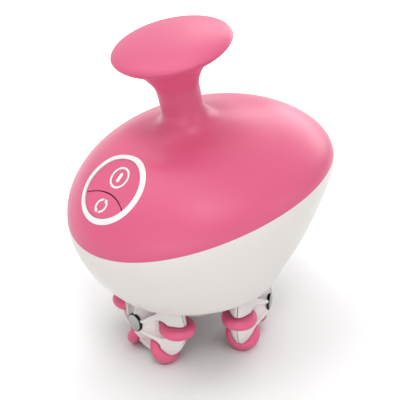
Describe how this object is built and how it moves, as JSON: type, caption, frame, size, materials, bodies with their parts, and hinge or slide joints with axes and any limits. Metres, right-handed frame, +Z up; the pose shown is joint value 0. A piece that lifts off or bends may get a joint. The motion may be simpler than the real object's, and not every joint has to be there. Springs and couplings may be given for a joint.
{
  "type": "roller massager",
  "caption": "Hand-held anti-cellulite roller massager: egg-shaped body, mushroom knob, tilted key panel and a turntable of petal wheels with small rollers.",
  "frame": {"origin": "on the floor under the turntable's axis, at the height of the rollers' lowest points", "axes": "+Z up along the turntable's axis, -Y towards the control panel, +X to the right of someone facing the panel"},
  "size_m": [0.1468, 0.1666, 0.2014],
  "materials": {
    "pink_shell": "satin moulded pink",
    "white_shell": "satin white",
    "white_trim": "gloss white inlay",
    "pink_key": "satin moulded pink",
    "wheel_white": "satin white",
    "roller_pink": "satin pink",
    "cap_chrome": "polished",
    "steel": "plain steel",
    "motor_steel": "drawn can",
    "bronze": "sintered bronze",
    "board_green": "coated laminate",
    "part_black": "moulded black",
    "cell_wrap": "plain wrap",
    "frame_grey": "moulded grey",
    "socket_black": "moulded black"
  },
  "bodies": {
    "housing": {"top_cover": "pink_shell", "knob_cap": "pink_shell", "lower_housing": "white_shell", "panel_ring": "white_trim", "button_board": "board_green", "tact_switches": "part_black", "deck": "frame_grey", "deck_bearing": "bronze", "gearbox": "motor_steel", "motor": "motor_steel", "battery_cells": "cell_wrap", "battery_trays": "frame_grey", "main_board": "board_green", "board_parts": "part_black", "charging_socket": "socket_black", "socket_nut": "steel", "cover_screws": "steel", "gearbox_screws": "steel", "deck_screws": "steel", "knob_screw": "steel", "board_screws": "steel"},
    "power_key": {"power_button": "pink_key", "power_symbol": "white_trim"},
    "mode_key": {"mode_button": "pink_key", "mode_symbol": "white_trim"},
    "turntable_body": {"turntable": "white_shell", "drive_shaft": "steel", "hub_screw": "steel", "axles": "steel", "axle_clips": "steel"},
    "wheel_1": {"wheel_1_outer": "wheel_white", "wheel_1_inner": "wheel_white", "wheel_1_cap": "cap_chrome", "wheel_1_pins": "steel"},
    "wheel_2": {"wheel_2_outer": "wheel_white", "wheel_2_inner": "wheel_white", "wheel_2_cap": "cap_chrome", "wheel_2_pins": "steel"},
    "wheel_3": {"wheel_3_outer": "wheel_white", "wheel_3_inner": "wheel_white", "wheel_3_cap": "cap_chrome", "wheel_3_pins": "steel"},
    "wheel_1_disc_1": {"wheel_1_roller_1": "roller_pink"},
    "wheel_1_disc_2": {"wheel_1_roller_2": "roller_pink"},
    "wheel_1_disc_3": {"wheel_1_roller_3": "roller_pink"},
    "wheel_1_disc_4": {"wheel_1_roller_4": "roller_pink"},
    "wheel_1_disc_5": {"wheel_1_roller_5": "roller_pink"},
    "wheel_1_disc_6": {"wheel_1_roller_6": "roller_pink"},
    "wheel_2_disc_1": {"wheel_2_roller_1": "roller_pink"},
    "wheel_2_disc_2": {"wheel_2_roller_2": "roller_pink"},
    "wheel_2_disc_3": {"wheel_2_roller_3": "roller_pink"},
    "wheel_2_disc_4": {"wheel_2_roller_4": "roller_pink"},
    "wheel_2_disc_5": {"wheel_2_roller_5": "roller_pink"},
    "wheel_2_disc_6": {"wheel_2_roller_6": "roller_pink"},
    "wheel_3_disc_1": {"wheel_3_roller_1": "roller_pink"},
    "wheel_3_disc_2": {"wheel_3_roller_2": "roller_pink"},
    "wheel_3_disc_3": {"wheel_3_roller_3": "roller_pink"},
    "wheel_3_disc_4": {"wheel_3_roller_4": "roller_pink"},
    "wheel_3_disc_5": {"wheel_3_roller_5": "roller_pink"},
    "wheel_3_disc_6": {"wheel_3_roller_6": "roller_pink"}
  },
  "joints": [
    {"name": "power_press", "type": "slide", "parent": "housing", "child": "power_key", "axis": [0, 0.6769, -0.7361], "range_m": [0, 0.0008], "stiffness_N_per_m": 2500, "springref_m": -0.0004},
    {"name": "mode_press", "type": "slide", "parent": "housing", "child": "mode_key", "axis": [0, 0.6769, -0.7361], "range_m": [0, 0.0008], "stiffness_N_per_m": 2500, "springref_m": -0.0004},
    {"name": "turntable_spin", "type": "hinge", "parent": "housing", "child": "turntable_body", "pos_m": [0, 0, 0.0468], "axis": [0, 0, 1], "continuous": true},
    {"name": "wheel_1_spin", "type": "hinge", "parent": "turntable_body", "child": "wheel_1", "pos_m": [0.00121, -0.03478, 0.02902], "axis": [0.0349, -0.9994, 0], "continuous": true},
    {"name": "wheel_2_spin", "type": "hinge", "parent": "turntable_body", "child": "wheel_2", "pos_m": [0.02951, 0.01844, 0.02902], "axis": [0.848, 0.5299, 0], "continuous": true},
    {"name": "wheel_3_spin", "type": "hinge", "parent": "turntable_body", "child": "wheel_3", "pos_m": [-0.03073, 0.01634, 0.02902], "axis": [-0.8829, 0.4695, 0], "continuous": true},
    {"name": "roller_1_1_spin", "type": "hinge", "parent": "wheel_1", "child": "wheel_1_disc_1", "pos_m": [0.01221, -0.0344, 0.00996], "axis": [0.8655, 0.0302, 0.5], "continuous": true},
    {"name": "roller_1_2_spin", "type": "hinge", "parent": "wheel_1", "child": "wheel_1_disc_2", "pos_m": [0.0232, -0.03401, 0.02902], "axis": [0, 0, 1], "continuous": true},
    {"name": "roller_1_3_spin", "type": "hinge", "parent": "wheel_1", "child": "wheel_1_disc_3", "pos_m": [0.01221, -0.0344, 0.04807], "axis": [-0.8655, -0.0302, 0.5], "continuous": true},
    {"name": "roller_1_4_spin", "type": "hinge", "parent": "wheel_1", "child": "wheel_1_disc_4", "pos_m": [-0.00978, -0.03516, 0.04807], "axis": [-0.8655, -0.0302, -0.5], "continuous": true},
    {"name": "roller_1_5_spin", "type": "hinge", "parent": "wheel_1", "child": "wheel_1_disc_5", "pos_m": [-0.02077, -0.03555, 0.02902], "axis": [0, 0, -1], "continuous": true},
    {"name": "roller_1_6_spin", "type": "hinge", "parent": "wheel_1", "child": "wheel_1_disc_6", "pos_m": [-0.00978, -0.03516, 0.00996], "axis": [0.8655, 0.0302, -0.5], "continuous": true},
    {"name": "roller_2_1_spin", "type": "hinge", "parent": "wheel_2", "child": "wheel_2_disc_1", "pos_m": [0.02368, 0.02777, 0.00996], "axis": [-0.4589, 0.7344, 0.5], "continuous": true},
    {"name": "roller_2_2_spin", "type": "hinge", "parent": "wheel_2", "child": "wheel_2_disc_2", "pos_m": [0.01785, 0.0371, 0.02902], "axis": [0, 0, 1], "continuous": true},
    {"name": "roller_2_3_spin", "type": "hinge", "parent": "wheel_2", "child": "wheel_2_disc_3", "pos_m": [0.02368, 0.02777, 0.04807], "axis": [0.4589, -0.7344, 0.5], "continuous": true},
    {"name": "roller_2_4_spin", "type": "hinge", "parent": "wheel_2", "child": "wheel_2_disc_4", "pos_m": [0.03534, 0.00911, 0.04807], "axis": [0.4589, -0.7344, -0.5], "continuous": true},
    {"name": "roller_2_5_spin", "type": "hinge", "parent": "wheel_2", "child": "wheel_2_disc_5", "pos_m": [0.04117, -0.00022, 0.02902], "axis": [0, 0, -1], "continuous": true},
    {"name": "roller_2_6_spin", "type": "hinge", "parent": "wheel_2", "child": "wheel_2_disc_6", "pos_m": [0.03534, 0.00911, 0.00996], "axis": [-0.4589, 0.7344, -0.5], "continuous": true},
    {"name": "roller_3_1_spin", "type": "hinge", "parent": "wheel_3", "child": "wheel_3_disc_1", "pos_m": [-0.03589, 0.00662, 0.00996], "axis": [-0.4066, -0.7647, 0.5], "continuous": true},
    {"name": "roller_3_2_spin", "type": "hinge", "parent": "wheel_3", "child": "wheel_3_disc_2", "pos_m": [-0.04106, -0.00309, 0.02902], "axis": [0, 0, 1], "continuous": true},
    {"name": "roller_3_3_spin", "type": "hinge", "parent": "wheel_3", "child": "wheel_3_disc_3", "pos_m": [-0.03589, 0.00662, 0.04807], "axis": [0.4066, 0.7647, 0.5], "continuous": true},
    {"name": "roller_3_4_spin", "type": "hinge", "parent": "wheel_3", "child": "wheel_3_disc_4", "pos_m": [-0.02556, 0.02605, 0.04807], "axis": [0.4066, 0.7647, -0.5], "continuous": true},
    {"name": "roller_3_5_spin", "type": "hinge", "parent": "wheel_3", "child": "wheel_3_disc_5", "pos_m": [-0.0204, 0.03576, 0.02902], "axis": [0, 0, -1], "continuous": true},
    {"name": "roller_3_6_spin", "type": "hinge", "parent": "wheel_3", "child": "wheel_3_disc_6", "pos_m": [-0.02556, 0.02605, 0.00996], "axis": [-0.4066, -0.7647, -0.5], "continuous": true}
  ]
}
